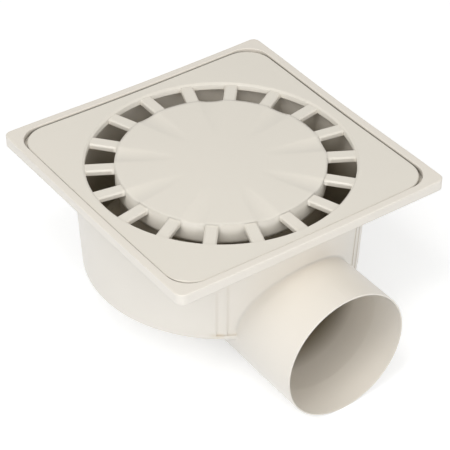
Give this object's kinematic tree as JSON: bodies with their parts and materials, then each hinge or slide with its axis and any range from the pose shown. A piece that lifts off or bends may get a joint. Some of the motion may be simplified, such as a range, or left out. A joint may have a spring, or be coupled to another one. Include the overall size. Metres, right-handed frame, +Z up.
{
  "type": "gully trap",
  "caption": "Square plastic floor gully with a dished slotted grate, a round bowl with a bell trap and a side spigot for a drain pipe.",
  "frame": {"origin": "middle of the square frame, level with its four corners, where the finished floor comes", "axes": "+X along the outlet, out of the spigot; +Z up, out of the floor"},
  "size_m": [0.29, 0.25, 0.1449],
  "materials": {
    "body_plastic": "satin",
    "bell_plastic": "satin",
    "grate_plastic": "satin"
  },
  "bodies": {
    "root": {"gully_body": "body_plastic", "trap_bell": "bell_plastic", "grate": "grate_plastic"}
  },
  "joints": []
}
